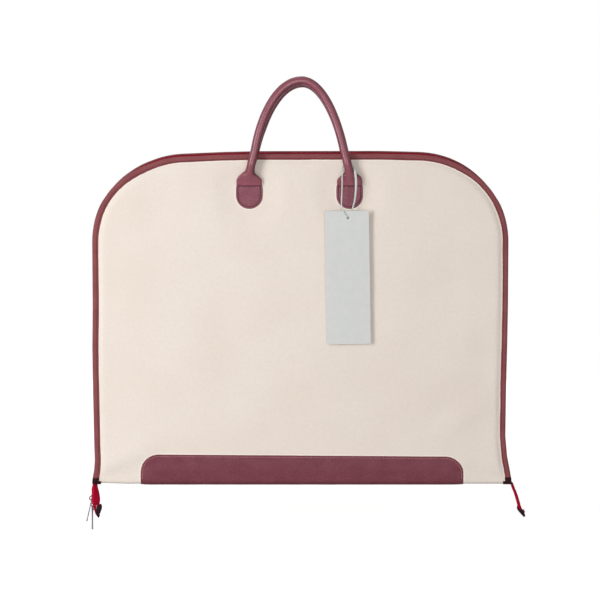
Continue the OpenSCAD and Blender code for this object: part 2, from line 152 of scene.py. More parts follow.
class Shape:
    """Collects the closed shells of one piece, with an optional value for each vertex."""

    def __init__(self):
        self.v, self.f, self.value = [], [], []

    def put(self, verts, faces, values=None):
        o = len(self.v)
        self.v += [tuple(float(c) for c in p) for p in verts]
        self.f += [tuple(o + i for i in face) for face in faces]
        self.value += list(values) if values is not None else [0.0] * len(verts)

    def loops(self, rings, values=None, closed=False):
        """Skin over rings of equal length, capped at both ends unless it is closed."""
        n = len(rings[0])
        verts = [p for ring in rings for p in ring]
        faces = []
        for i in range(len(rings) - (0 if closed else 1)):
            a, b = i * n, (i + 1) % len(rings) * n
            faces += [(a + k, a + (k + 1) % n, b + (k + 1) % n, b + k) for k in range(n)]
        if not closed:
            faces += [tuple(range(n))[::-1], tuple((len(rings) - 1) * n + k for k in range(n))]
        self.put(verts, faces, values)

    def sheet(self, outer, inner, values=None):
        """A closed shell between two grids of points."""
        rows, cols = len(outer), len(outer[0])
        verts = [p for r in outer for p in r] + [p for r in inner for p in r]
        off = rows * cols
        faces = []
        for r in range(rows - 1):
            for c in range(cols - 1):
                a = r * cols + c
                quad = (a, a + 1, a + cols + 1, a + cols)
                faces += [quad, tuple(off + i for i in quad[::-1])]
        rim = ([(0, c) for c in range(cols)] + [(r, cols - 1) for r in range(1, rows)]
               + [(rows - 1, c) for c in range(cols - 2, -1, -1)]
               + [(r, 0) for r in range(rows - 2, 0, -1)])
        ids = [r * cols + c for r, c in rim]
        for i, a in enumerate(ids):
            b = ids[(i + 1) % len(ids)]
            faces.append((a, off + a, off + b, b))
        self.put(verts, faces, list(values) * 2 if values is not None else None)

    def skin(self, rows, point):
        """A closed shell over rows of (q, places x along it); point(x, q) gives an outer
        point, an inner point and a value."""
        cells = [[point(x, q) for x in xs] for q, xs in rows]
        outer, inner = ([[cell[k] for cell in row] for row in cells] for k in (0, 1))
        self.sheet(outer, inner, [cell[2] for row in cells for cell in row])

    def slab(self, grid, dx, dy, values=None):
        """A grid of points made thick by a second one, dx and dy away."""
        self.sheet(grid, [[(x + dx, y + dy, z) for x, y, z in row] for row in grid], values)

    def block(self, lo, hi):
        corners = [(x, y, z) for x in (lo[0], hi[0]) for y in (lo[1], hi[1])
                   for z in (lo[2], hi[2])]
        self.put(corners, [(0, 1, 3, 2), (4, 6, 7, 5), (0, 4, 5, 1), (2, 3, 7, 6),
                           (0, 2, 6, 4), (1, 5, 7, 3)])

    def prism(self, outline, axis, a, b):
        """An outline pushed along an axis (0, 1 or 2) from a to b."""
        def lift(p, d):
            q = list(p)
            q.insert(axis, d)
            return tuple(q)
        self.loops([[lift(p, a) for p in outline], [lift(p, b) for p in outline]])


def add(name, shape, material, body=None, slot=None, replaces=(), back=False, soft=True,
        bevel=0.0):
    """Make a piece of a shape; a back piece is the shape mirrored in Y."""
    me = bpy.data.meshes.new(name)
    across = -MM if back else MM
    me.from_pydata([(x * MM, y * across, z * MM) for x, y, z in shape.v], [], shape.f)
    attribute = me.attributes.new("weave", "FLOAT", "POINT")
    attribute.data.foreach_set("value", np.array(shape.value, np.float32))
    bm = bmesh.new()
    bm.from_mesh(me)
    if bevel:
        sharp = [e for e in bm.edges if len(e.link_faces) == 2 and e.calc_face_angle(0) > 0.6]
        bmesh.ops.bevel(bm, geom=sharp, offset=bevel * MM, segments=2, affect="EDGES",
                        profile=0.6)
    bmesh.ops.recalc_face_normals(bm, faces=bm.faces)
    bm.to_mesh(me)
    bm.free()
    me.materials.append(material)
    for polygon in me.polygons:
        polygon.use_smooth = soft
    o = bpy.data.objects.new(name, me)
    bpy.context.scene.collection.objects.link(o)
    if replaces:
        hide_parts(*replaces)
    if body:
        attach(o, body)
    return o


def add_half(back, name, shape, material, slot, replaces=(), rides=True, **more):
    """add() for a piece of one half; {} in a replaced node's name is front or back."""
    side = "back" if back else "front"
    return add(f"{side}_{name}", shape, material, slot=slot, back=back,
               body=f"{side}_half" if rides else None,
               replaces=[node.format(side) for node in replaces], **more)


# ---- camera ----
def make_camera():
    elevation, distance, width = math.radians(6.2), 4.0, 0.8676
    data = bpy.data.cameras.new("camera")
    cam = bpy.data.objects.new("camera", data)
    bpy.context.scene.collection.objects.link(cam)
    target = Vector((-0.0007, FACE * MM, 0.2712))
    back = Vector((0, -math.cos(elevation), math.sin(elevation)))
    cam.location = target + distance * back
    cam.rotation_mode = "QUATERNION"
    cam.rotation_quaternion = (-back).to_track_quat("-Z", "Y")
    data.sensor_width = 36
    data.lens = 36 * distance / width
    bpy.context.scene.camera = cam


make_camera()


# ---- materials ----
def srgb(r, g, b):
    f = lambda c: (c / 12.92 if c <= 0.04045 else ((c + 0.055) / 1.055) ** 2.4)
    return tuple(f(c / 255) for c in (r, g, b)) + (1.0,)


BLACK, WHITE = (0, 0, 0, 1), (1, 1, 1, 1)


def link(nt, value, socket):
    if isinstance(value, bpy.types.NodeSocket):
        nt.links.new(value, socket)
    else:
        socket.default_value = value


def add_node(nt, kind, out=0, **props):
    """A node with its inputs, by number (i0, i1...) or by name, and its properties set."""
    n = nt.nodes.new(kind)
    for key, value in props.items():
        name = key.replace("_", " ")
        if key[0] == "i" and key[1:].isdigit():
            link(nt, value, n.inputs[int(key[1:])])
        elif name in n.inputs:
            link(nt, value, n.inputs[name])
        else:
            setattr(n, key, value)
    return n.outputs[out]


class Mat:
    """A procedural material; lengths in its textures are millimetres."""

    def __init__(self, name, **sockets):
        self.m = bpy.data.materials.new(name)
        self.m.use_nodes = True
        self.nt = self.m.node_tree
        self.shader = self.nt.nodes["Principled BSDF"]
        for key, value in sockets.items():
            self.set(key, value)
        coord = self.nt.nodes.new("ShaderNodeTexCoord")
        self.mm = self.node("ShaderNodeVectorMath", operation="SCALE", Scale=1000,
                            i0=coord.outputs["Object"])

    def node(self, kind, **props):
        return add_node(self.nt, kind, **props)

    def set(self, name, value):
        link(self.nt, value, self.shader.inputs[name.replace("_", " ")])

    def math(self, op, *values):
        return self.node("ShaderNodeMath", operation=op,
                         **{f"i{k}": v for k, v in enumerate(values)})

    def times(self, a, b):
        return self.math("MULTIPLY", a, b)

    def scaled(self, value, by, plus):
        return self.math("MULTIPLY_ADD", value, by, plus)

    def minus(self, a, b):
        return self.math("SUBTRACT", a, b)

    def size(self, value):
        return self.math("ABSOLUTE", value)

    def reach(self, dx, dz, radius):
        """Distance out from a circle of this radius."""
        square = self.math("ADD", self.times(dx, dx), self.times(dz, dz))
        return self.minus(self.math("SQRT", square), radius)

    def stretch(self, x, y, z):
        return self.node("ShaderNodeVectorMath", operation="MULTIPLY", i0=self.mm, i1=(x, y, z))

    def noise(self, size, detail=2.0, vector=None):
        return self.node("ShaderNodeTexNoise", Vector=vector or self.mm, Scale=1 / size,
                         Detail=detail, Roughness=0.5)

    def cells(self, size):
        return self.node("ShaderNodeTexVoronoi", Vector=self.mm, Scale=1 / size)

    # per-vertex value: the phase of ribs and weave, the amount of painted shade on the leather, and
    # on the canvas the distance that places its painted highlight line
    def weave(self):
        return self.node("ShaderNodeAttribute", out=2, attribute_name="weave")

    def wave(self, value, pitch):
        return self.math("SINE", self.times(value, 2 * math.pi / pitch))

    def axis(self, k):
        return self.node("ShaderNodeSeparateXYZ", out=k, i0=self.mm)

    def colour(self, factor, a=BLACK, b=WHITE, low=0.3, high=0.7):
        ramp = self.nt.nodes.new("ShaderNodeValToRGB")
        for end, place_at, shade in zip(ramp.color_ramp.elements, (low, high), (a, b)):
            end.position, end.color = place_at, shade
        self.nt.links.new(factor, ramp.inputs[0])
        return ramp.outputs[0]

    def tint(self, colour, factor, other):
        return self.node("ShaderNodeMix", out=2, data_type="RGBA", i0=factor, i6=colour, i7=other)

    def relief(self, *layers):
        """Bump from pairs of (height 0..1, depth in mm)."""
        normal = {}
        for height, depth in layers:
            normal = {"Normal": self.node("ShaderNodeBump", Distance=depth * MM, Height=height,
                                          **normal)}
        self.set("Normal", normal["Normal"])
        return self.m


def canvas_material():
    m = Mat("canvas", Roughness=0.88, Sheen_Weight=0.08, Specular_IOR_Level=0.25)
    x, z = m.axis(0), m.axis(2)
    cross = m.times(m.wave(x, 0.9), m.wave(z, 0.9))
    slub = m.noise(1.6, 3.0, m.stretch(1.0, 1.0, 0.35))
    base = m.colour(m.noise(95), srgb(241, 229, 218), srgb(244, 233, 223), 0.35, 0.65)
    fleck = m.colour(slub, low=0.35, high=0.75)
    base = m.tint(base, m.times(fleck, 0.2), srgb(226, 211, 197))
    mottle = m.colour(m.noise(4.5), low=0.35, high=0.65)
    base = m.tint(base, m.times(mottle, 0.12), srgb(222, 206, 192))
    # painted highlight: a pale line where the canvas turns under the binding, the patches and the
    # band, as if the pinched canvas caught the light
    dx = m.minus(m.size(m.minus(x, HANDLE_X)), PATCH_X)
    dz = m.minus(z, m.math("MINIMUM", m.math("MAXIMUM", z, PATCH_LOW), PATCH_HIGH))
    gap = m.math("MINIMUM", m.reach(dx, dz, PATCH_R), m.weave())
    side = m.minus(x, BAND_X)
    rise = m.scaled(side, BAND_TILT, z)
    dx = m.math("MAXIMUM", m.minus(m.size(side), BAND_HALF - BAND_R), 0.0)
    dz = m.math("MAXIMUM", m.minus(rise, BAND_H - BAND_R), 0.0)
    gap = m.math("MINIMUM", gap, m.reach(dx, dz, BAND_R))
    line = m.colour(m.math("DIVIDE", m.size(gap), 10), WHITE, BLACK, 0.13, 0.24)
    # painted highlight line mixed into the canvas colour
    m.set("Base Color", m.tint(base, m.times(line, 0.8), srgb(254, 247, 233)))
    return m.relief((m.scaled(cross, 0.5, 0.5), 0.05), (slub, 0.10))


def leather_material(name, dark, light, rough, pebble=1.3, depth=0.10, ribs=0.0, shine=0.25,
                     mottle=0.3):
    m = Mat(name, Specular_IOR_Level=shine)
    # dark tone, used for the random mottle and for the painted shade of grooves, rib troughs and the
    # sides of the handle; darkest for the shiny handle leather
    deep = tuple(c * (0.25 if shine > 0.5 else 0.5) for c in dark[:3]) + (1.0,)
    base = m.colour(m.noise(22, 3.0), dark, light)
    base = m.tint(base, m.times(m.colour(m.noise(1.8)), mottle), deep)
    crack = m.colour(m.cells(pebble), WHITE, BLACK, 0.35, 0.85)
    layers = [(crack, depth), (m.noise(0.5), depth * 0.25)]
    if ribs:
        rib = m.scaled(m.wave(m.weave(), ribs), 0.5, 0.5)
        # painted shade: the troughs between the ribs are painted darker
        base = m.tint(base, m.scaled(rib, -0.35, 0.35), deep)
        layers.insert(0, (rib, 0.16))
    else:                                        # painted shade: grooves, the sides of the handle and the low edge of the band are painted darker by the per-vertex value, and made duller
        base = m.tint(base, m.times(m.weave(), 0.85), deep)
        m.set("Specular IOR Level", m.scaled(m.weave(), -0.9 * shine, shine))
    m.set("Base Color", base)
    m.set("Roughness", m.scaled(m.noise(9), 0.14, rough - 0.07))
    return m.relief(*layers)


def cloth_material(name, dark, light, pitch, rough=0.85, depth=0.12):
    m = Mat(name, Roughness=rough, Specular_IOR_Level=0.1)
    m.set("Base Color", m.colour(m.noise(1.4, 3.0), dark, light))
    return m.relief((m.scaled(m.wave(m.weave(), pitch), 0.5, 0.5), depth),
                    (m.noise(0.7, 3.0), 0.05))


def metal_material(name, colour, rough):
    m = Mat(name, Metallic=1.0)
    dull = tuple(c * 0.82 for c in colour[:3]) + (1.0,)
    m.set("Base Color", m.colour(m.noise(4), dull, colour, 0.3, 0.6))
    m.set("Roughness", m.scaled(m.noise(1.2, 3.0, m.stretch(1, 1, 0.15)), 0.18, rough - 0.06))
    return m.relief((m.noise(0.6), 0.01))


def plain_material(name, dark, light, rough, grain_size, depth):
    m = Mat(name, Roughness=rough)
    m.set("Base Color", m.colour(m.noise(grain_size * 6, 3.0), dark, light))
    return m.relief((m.noise(grain_size, 3.0), depth))


CANVAS = canvas_material()
LEATHER = leather_material("leather", srgb(117, 54, 66), srgb(131, 66, 79), 0.46, 2.0, 0.2,
                           mottle=0.5)
TUBE = leather_material("tube_leather", srgb(132, 58, 73), srgb(144, 70, 87), 0.3, 1.1, 0.004,
                        shine=0.6, mottle=0.06)
PATCH = leather_material("patch_leather", srgb(138, 78, 91), srgb(152, 92, 105), 0.55, 1.7, 0.3,
                         mottle=0.5)
BINDING = leather_material("binding", srgb(140, 72, 76), srgb(156, 86, 88), 0.6, 0.8, 0.05, 1.7)
TAIL_END = leather_material("tail_end", srgb(28, 4, 10), srgb(50, 13, 20), 0.6, 1.2, 0.15,
                            shine=0.12)
TAPE = cloth_material("zip_tape", srgb(172, 6, 40), srgb(196, 16, 58), 1.1)
LINING = cloth_material("lining", srgb(92, 38, 48), srgb(106, 48, 58), 0.8, 0.6, 0.04)
WEB = cloth_material("webbing", srgb(34, 28, 30), srgb(48, 40, 43), 1.6, 0.8, 0.2)
CORD = cloth_material("string", srgb(202, 213, 209), srgb(218, 227, 223), 0.9, 0.9, 0.1)
THREAD = cloth_material("thread", srgb(184, 128, 136), srgb(200, 148, 154), 0.5, 0.7, 0.05)
DARK_THREAD = cloth_material("dark_thread", srgb(58, 14, 22), srgb(74, 22, 30), 0.5, 0.7, 0.05)
METAL = metal_material("zip_metal", srgb(112, 109, 116), 0.34)
TEETH = plain_material("zip_teeth", srgb(66, 18, 26), srgb(84, 28, 36), 0.45, 0.6, 0.02)
CARD = plain_material("card", srgb(211, 213, 211), srgb(216, 217, 215), 0.62, 1.5, 0.02)
PLASTIC = plain_material("plastic", srgb(26, 24, 26), srgb(32, 30, 32), 0.45, 0.6, 0.02)


# ---- shape of the soft halves ----
LEFT_EDGE = [(0, 3.2), (8, 2.6), (20, 0.4), (35, -0.6), (50, -0.2), (70, 0.2), (130, 1.0),
             (200, 1.6), (260, 0.6), (300, 0.6), (484, 0.6)]
RIGHT_EDGE = [(0, 7.4), (9, 6.8), (22, 4.4), (40, 0.8), (70, -2.0), (140, -1.6), (210, -0.4),
              (260, 0.2), (484, 0.0)]


def sway(x, z):
    """How far the soft sides stray from the straight outline."""
    side = interp(RIGHT_EDGE, max(z, 0.0)) if x > 0 else -interp(LEFT_EDGE, max(z, 0.0))
    return side * smooth((abs(x) - 190) / 100)


DROOP = [(-300, 0), (-245, 4.8), (-217, 5.6), (-180, 4.4), (-145, 2.9), (-109, 1.4), (-60, 0.3),
         (115, 0), (150, 0.8), (180, 1.6), (225, 1.9), (250, 1.5), (300, 0)]


def place(x, y, z, back):
    """A point of the flat layout on the soft, slightly slumped bag."""
    middle = smooth((z - 415) / 60) * smooth((290 - abs(x)) / 60)
    dip = interp(DROOP, x) * smooth((z - 330) / 110)
    lift = 1.4 * smooth((-x - 245) / 55) * smooth((34 - z) / 30)
    return x + sway(x, z), y, z - dip + lift + (1.2 if back else -1.5) * middle


def edge_gap(x, z):
    ax = abs(x)
    if z <= CORNER_Z:
        return HALF_W - ax
    if ax <= CORNER_X:
        return TOP - z
    return CORNER - math.hypot(ax - CORNER_X, z - CORNER_Z)


def patch_gap(x, z):
    mid = min(max(z, PATCH_LOW), PATCH_HIGH)
    return min(math.hypot(x - HANDLE_X - s * PATCH_X, z - mid) for s in (-1, 1)) - PATCH_R


DENTS = [  # x, z, width, height, lean in degrees, depth (negative is a hollow)
    (-118, 255, 26, 95, 4, -0.9), (-160, 180, 60, 60, 0, 0.7), (-215, 395, 40, 26, 35, -0.9),
    (-60, 350, 50, 40, 0, 0.5), (160, 350, 60, 50, -20, 0.6), (215, 300, 30, 60, 10, -0.8),
    (205, 110, 45, 14, 40, -1.0), (232, 92, 46, 12, 40, 0.8), (120, 90, 80, 30, -8, 0.6),
    (-20, 70, 120, 16, 3, -0.7), (-230, 70, 30, 40, 20, 0.6), (40, 200, 50, 90, 0, 0.6),
    (-262, 300, 14, 70, 0, -0.5), (262, 210, 16, 60, 0, -0.7), (0, 452, 90, 9, 0, -0.4),
    (-262, 14, 46, 9, 20, -3.4), (-246, 46, 50, 14, 24, 1.4), (262, 12, 40, 9, -16, -3.2),
    (270, 44, 40, 16, -20, 0.7)]


def puff(x, z, back):
    """How far the padded canvas stands out from the flat panel."""
    e, p = edge_gap(x, z), patch_gap(x, z)
    inside = smooth((e - 7.5) / 10)
    level = smooth((z - 8) / 70)
    v = min(max((z - HALF_Z) / (TOP - HALF_Z), 0.0), 1.0)
    crown = 2.4 * (1 - abs(x / HALF_W) ** 2.4) * math.sin(math.pi * v) ** 0.7
    wave = 0.0
    for cx, cz, w, h, lean, depth in DENTS:
        if back:
            cx = -cx
        a = math.radians(lean)
        dx, dz = x - cx, z - cz
        wave += depth * bump((dx * math.cos(a) + dz * math.sin(a)) / w) * bump(
            (dz * math.cos(a) - dx * math.sin(a)) / h)
    seed = 7.0 if back else 0.0
    wave += 0.7 * grain(x / 85, z / 120, seed) + 0.22 * grain(x / 30, z / 42, seed + 3)
    lip = 0.55 * bump((e - 12) / 4) + 0.5 * bump((p - 3.2) / 2.6)
    belly = 2.0 * smooth((z - 5) / 20)
    rest = inside * ((belly + level * crown + smooth((z - 3) / 14) * wave) * smooth(p / 40) + lip)
    return max(rest, 0.0) * smooth((z - 4) / 10)


def wrap(q, depth):
    """Point and outward direction, in Y and Z, at length q from the middle of the fold."""
    if q <= SPINE:
        return -q, depth, 0.0, -1.0
    if q <= SPINE + CREASE:
        a = (q - SPINE) / CREASE * math.pi / 2
        r = FOLD_R - depth
        return (-SPINE - r * math.sin(a), FOLD_R - r * math.cos(a), -math.sin(a), -math.cos(a))
    return FACE + depth, FOLD_R + q - SPINE - CREASE, -1.0, 0.0


def at_z(z):
    return z - FOLD_R + SPINE + CREASE


def rows_to_top(inset):
    """Lengths q of the rows of a panel, with the half width of each."""
    low = [0, 2.5, 5.2] + steps(5.6, SPINE, 2) + steps(SPINE, SPINE + CREASE, 1.5)[1:]
    rows = [(q, 295.0 if q < 5.4 else HALF_W - inset) for q in low]
    rows += [(at_z(z), HALF_W - inset) for z in [7.2, 9, 11.5] + steps(15, CORNER_Z, 7)]
    r = CORNER - inset
    rows += [(at_z(CORNER_Z + r * math.sin(a)), CORNER_X + r * math.cos(a))
             for a in np.radians(steps(3, 90, 3))]
    return rows


def columns():
    edge = [0, 1.5, 3, 5, 7, 8.5, 10, 12, 14, 17, 21, 26, 32]
    half = [1 - e / 299 for e in edge] + [u / 299 for u in steps(260, 0, 7.5)]
    return sorted(set([-h for h in half] + half))


def panel_grid(inset, every=1):
    """The rows of a panel, each with the X of its columns."""
    us = columns()[::every]
    return [(q, [u * w for u in us]) for q, w in rows_to_top(inset)]


def half_panel(back):
    def point(x, q):
        y, z, ny, nz = wrap(q, SKIN)
        out = puff(x, z, back)
        low_y, low_z, _, _ = wrap(q, SKIN + 1.0 + 1.7 * smooth((q - SPINE - CREASE) / 14))
        # the value, the distance in from the binding, places the canvas's painted highlight line
        return (place(x, y + ny * out, z + nz * out, back), place(x, low_y, low_z, back),
                max(edge_gap(x, z) - BINDING_W, 0.0))
    s = Shape()
    s.skin(panel_grid(1.0), point)
    return add_half(back, "panel", s, CANVAS, "canvas", ("{}_canvas", "{}_pad", "fold_canvas"),
                    rides=False)


def half_lining(back):
    def point(x, q):
        y, z, ny, nz = wrap(q, 2.05 + 1.75 * smooth((q - SPINE - CREASE) / 14))
        flat = smooth((edge_gap(x, max(z, 6)) - BINDING_W) / 20) * smooth((z - 8) / 30)
        ease = flat * max(0.0, 0.25 + 0.35 * grain(x / 40, z / 60, 21.0 + 5 * back))
        top, low = (place(x, y - ny * e, z - nz * e, back) for e in (ease, 0.5 + ease))
        return top, low, z + 0.3 * x
    s = Shape()
    s.skin(panel_grid(1.2, 2), point)
    return add_half(back, "lining_cloth", s, LINING, "lining", ("{}_lining", "fold_lining"),
                    rides=False)


def stitch_line(shape, points, pitch, length, radius, rise=0.1):
    """Small sunken-ended stitches, facing the front, along a line of points."""
    p = np.array(points, float)
    out = np.array([0.0, -1.0, 0.0])
    d = np.concatenate([[0], np.cumsum(np.linalg.norm(np.diff(p, axis=0), axis=1))])
    count = int(d[-1] / pitch)
    for i in range(count):
        mid = (i + 0.5) * d[-1] / count
        c = np.array([[np.interp(mid + part * length, d, p[:, k]) for k in range(3)]
                      for part in (-0.5, -0.3, 0, 0.3, 0.5)])
        t = c[-1] - c[0]
        t /= np.linalg.norm(t)
        side = np.cross(t, out)
        rings = []
        for centre, (scale, up) in zip(c, [(0.35, -0.5), (0.9, 0.3), (1, 0.5), (0.9, 0.3),
                                           (0.35, -0.5)]):
            centre = centre + out * (rise + up * radius)
            rings.append([centre + radius * scale * (math.cos(a) * side + math.sin(a) * out)
                          for a in circle(6)])
        shape.loops(rings)


# ---- base band ----
def band_gap(x, z):
    """Distance in from the side and top edges of the band."""
    ax = abs(x)
    cx, cz = BAND_HALF - BAND_R, BAND_H - BAND_R
    if ax > cx and z > cz:
        return BAND_R - math.hypot(ax - cx, z - cz)
    return min(BAND_HALF - ax, BAND_H - z)


def band_height(x, z):
    """Height of the leather over the canvas, with its rounded edge and its stitch groove."""
    g = band_gap(x, z)
    puffed = 0.35 + 0.75 * smooth(g / 1.4) - 0.42 * bump((g - BAND_STITCH) / 0.85)
    crease = -0.35 * bump((z - 36 + 0.02 * x) / 1.6) * bump((x + 60) / 50)
    return puffed + 0.25 * smooth((g - 5) / 10) + crease + 0.12 * grain(x / 26, z / 12, 9)


def band_tilt(x, z):
    """How far the upper part of the band drops at x, since its edge isn't quite level."""
    return BAND_TILT * x * smooth((z - 12) / 26)


def half_band(back):
    cx, cz = BAND_HALF - BAND_R, BAND_H - BAND_R
    rows = [(q, BAND_HALF) for q in steps(0, SPINE, 3) + steps(SPINE, SPINE + CREASE, 1.2)[1:]]
    rows += [(at_z(z), BAND_HALF) for z in steps(7.5, cz, 2.5)]
    rows += [(at_z(cz + BAND_R * math.sin(a)), cx + BAND_R * math.cos(a))
             for a in np.radians([4, 8, 13, 18, 24, 30, 36, 42, 48, 54, 59, 63, 67, 71, 75, 79,
                                  83, 86.5, 90])]
    edge = [0, 0.5, 1.1, 1.8, 2.3, 2.7, 3.1, 3.6, 4.4, 6, 8, 11, 15, 20]
    half = [1 - e / BAND_HALF for e in edge] + [u / BAND_HALF for u in steps(206, 0, 8)]
    us = sorted(set([-h for h in half] + half))

    def point(x, q):
        y, z, ny, nz = wrap(q, SKIN)
        out, drop = puff(x + BAND_X, z, back), band_tilt(x, z)
        top, low = ((x + BAND_X, y + ny * h, z + nz * h - drop)
                    for h in (out + band_height(x, z), out + 0.02))
        return top, low, 0.5 * smooth((13 - z) / 14)     # painted shade: the leather is painted darker low down, towards the fold
    s = Shape()
    s.skin([(q, [u * w for u in us]) for q, w in rows], point)
    band = add_half(back, "band", s, LEATHER, "leather", ("{}_base_band", "fold_base_band"),
                    rides=False)
    g = BAND_STITCH
    line = [(-BAND_HALF + g, z) for z in steps(9, cz, 4)]
    line += [(-cx - (BAND_R - g) * math.cos(a), cz + (BAND_R - g) * math.sin(a))
             for a in np.radians(steps(5, 90, 5))]
    line += [(x, BAND_H - g) for x in steps(-cx, 0, 12)[1:]]
    line += [(-x, z) for x, z in line[-2::-1]]
    t = Shape()
    stitch_line(t, [(x + BAND_X, wrap(at_z(z), SKIN)[0] - puff(x + BAND_X, z, back)
                     - band_height(x, z), z - band_tilt(x, z)) for x, z in line],
                3.3, 2.3, 0.48, 0.12)
    add_half(back, "band_stitches", t, THREAD, "leather")
    return band


# ---- rim: binding, zip tape and teeth ----
def rim_path(start, size=7.0):
    """Steps round the rim from the lower left to the lower right: (kind, place)."""
    out = [("L", z) for z in steps(start, CORNER_Z, size)[:-1]]
    out += [("A", a) for a in steps(0, 90, 3.5)[:-1]]
    out += [("T", x) for x in steps(-CORNER_X, CORNER_X, size)[:-1]]
    out += [("B", a) for a in steps(90, 0, 3.5)[:-1]]
    return out + [("R", z) for z in steps(CORNER_Z, start, size)]


def rim_point(step, u):
    """X, Z and the inward direction at inset u."""
    kind, v = step
    if kind == "L":
        return -HALF_W + u, v, 1.0, 0.0
    if kind == "R":
        return HALF_W - u, v, -1.0, 0.0
    if kind == "T":
        return v, TOP - u, 0.0, -1.0
    a = math.radians(v)
    s = -1 if kind == "A" else 1
    r = CORNER - u
    return (s * (CORNER_X + r * math.cos(a)), CORNER_Z + r * math.sin(a),
            -s * math.cos(a), -math.sin(a))


def rim_length(path):
    pts = np.array([rim_point(p, 0)[:2] for p in path])
    return np.concatenate([[0], np.cumsum(np.linalg.norm(np.diff(pts, axis=0), axis=1))])


def sink(step):
    """How deep the zip lies between the bindings, most of all along the top."""
    return 4.8 * smooth((rim_point(step, 0)[1] - 405) / 60)


def sweep(path, section, back, move, value):
    """Carry a section round the rim; move gives the inset and lift of each of its points,
    value what is stored with it."""
    along = rim_length(path)
    rings = []
    for step, s in zip(path, along):
        ring = []
        for u, y in section:
            inset, lift = move(step, s, u, y)
            x, z, _, _ = rim_point(step, inset)
            ring.append(place(x, y + lift, z, back))
        rings.append(ring)
    shape = Shape()
    shape.loops(rings, [value(s, u, y) for s in along for u, y in section])
    return shape


TOOTH = [  # y, half its height, near end, far end
    (-3.6, 0.7, -0.5, 1.8), (-3.0, 0.95, -1.0, 1.88), (-1.2, 0.95, -1.0, 1.88),
    (-0.7, 0.7, -0.9, 1.7), (0.4, 0.66, -0.8, 1.6), (0.7, 0.4, -0.4, 1.2)]


def tooth(shape, profile, at):
    """A tooth through the sections of a profile; at(u, y, w) puts its points in place."""
    shape.loops([[at(u, y, w) for u, w in ((lo, -half), (lo, half), (hi, half), (hi, -half))]
                 for y, half, lo, hi in profile])


def half_rim(back):
    seed = 40.0 if back else 0.0
    path = rim_path(HALF_Z)

    def uneven(step, s, u, y):
        wob = 0.35 * grain(s / 30, 1.5, seed) + 0.15 * grain(s / 9, 4.0, seed)
        broad = 1.13 - 0.09 * smooth((rim_point(step, 0)[0] + 250) / 100)
        lift = 0.16 * grain(s / 14, u / 6, seed + 9) if y < -15 else 0.0
        return u * broad + (wob if u > 3 else 0.0), lift
    profile = [(8.0, -15.0), (7.9, -15.5), (7.4, -15.85), (6.9, -15.8), (6.5, -15.72),
               (6.1, -15.85), (5.2, -16.1), (3.6, -16.2), (2.0, -16.12), (0.9, -15.8),
               (0.2, -15.1), (0.0, -14.2), (0.0, -12.8), (0.25, -11.6), (0.9, -10.8),
               (2.2, -10.6), (6.6, -10.6), (7.7, -10.75), (8.0, -11.2), (7.4, -11.55),
               (1.1, -11.55), (1.1, -14.95), (7.4, -14.95)]
    binding = sweep(path, profile, back, uneven, lambda s, u, y: s + 0.9 * u)
    add_half(back, "edge_binding", binding, BINDING, "binding", ("{}_binding",))

    groove_u, groove_y = profile[4]
    t = Shape()
    flat = [rim_point(step, groove_u) for step in path]
    stitch_line(t, [place(x, groove_y, z, back) for x, z, _, _ in flat], 3.6, 2.7, 0.42)
    add_half(back, "binding_stitches", t, DARK_THREAD, "binding")

    section = [(1.95, -10.55), (1.9, -6.0), (2.0, -3.4), (1.95, -1.25), (2.55, -1.2),
               (2.65, -3.4), (2.5, -6.0), (2.6, -10.6)]
    tape = sweep(path, section, back,
                 lambda step, s, u, y: (u + sink(step) * smooth((y + 10) / 5), 0.0),
                 lambda s, u, y: s + 0.8 * abs(y + 6))
    add_half(back, "tape_cloth", tape, TAPE, "zip_tape", ("{}_zip_tape",))

    teeth = Shape()
    fine = rim_path(HALF_Z + 1.5, 2.0)
    length = rim_length(fine)
    pos = np.array([rim_point(p, 0) for p in fine])
    sinks = [sink(p) for p in fine]
    count = int(length[-1] / TOOTH_PITCH)
    for k in range(count):
        s = (k + (0.75 if back else 0.25)) * length[-1] / count
        x, z, ix, iz = (float(np.interp(s, length, pos[:, c])) for c in range(4))
        norm = math.hypot(ix, iz)
        ix, iz = ix / norm, iz / norm
        deep = float(np.interp(s, length, sinks))
        tooth(teeth, TOOTH, lambda u, y, w: place(x + ix * (u + deep) + iz * w, y,
                                                  z + iz * (u + deep) - ix * w, back))
    add_half(back, "teeth", teeth, TEETH, "zip_teeth", ("{}_zip_chain",), soft=False)


# ---- ends of the fold ----
def fold_end(side, m):
    s = Shape()
    for back in (1, -1):
        def point(x, q):
            y, z, ny, nz = wrap(max(q, 0.0), SKIN)
            top = 0.9 + 0.35 * grain(x / 3.0, q / 4.0, 5 * m)
            x = m * x + sway(m * x, z)
            return (x, (y + ny * top) * back, z + nz * top), (
                x, (y - ny * 0.3) * back, z - nz * 0.3), 0.0
        for lo, hi, q0, q1 in [(288.0, 300.4, 5.9, SPINE + CREASE - 0.2), (288.0, 295.0, -0.1, 5.9)]:
            s.skin([(q, steps(lo, hi, 1.8)) for q in steps(q0, q1, 1.4)], point)
    add(f"fold_end_{side}", s, TAIL_END, body="fold_strip", slot="binding",
        replaces=(f"fold_binding_{side}",))


def binding_ends(back):
    """Dark leather folded over the lowest end of the binding on both sides."""
    s = Shape()
    section = [(9.0, -15.2), (8.9, -16.2), (6.0, -16.6), (2.5, -16.7), (0.2, -16.3),
               (-0.5, -15.2), (-0.5, -12.2), (0.2, -10.9), (1.6, -10.2), (8.6, -10.2),
               (8.8, -11.9), (1.5, -11.9), (1.5, -14.8), (8.6, -14.8)]
    for m, top in ((-1, 8.6), (1, 11.4)):
        rings = []
        for z in steps(3.4, top, 1.2):
            rings.append([place(m * (HALF_W - u + 0.3 * grain(z / 2, u / 2, 4)),
                                y, z + 0.3 * grain(u, y, 6), back) for u, y in section])
        s.loops(rings)
    add_half(back, "binding_ends", s, TAIL_END, "binding")


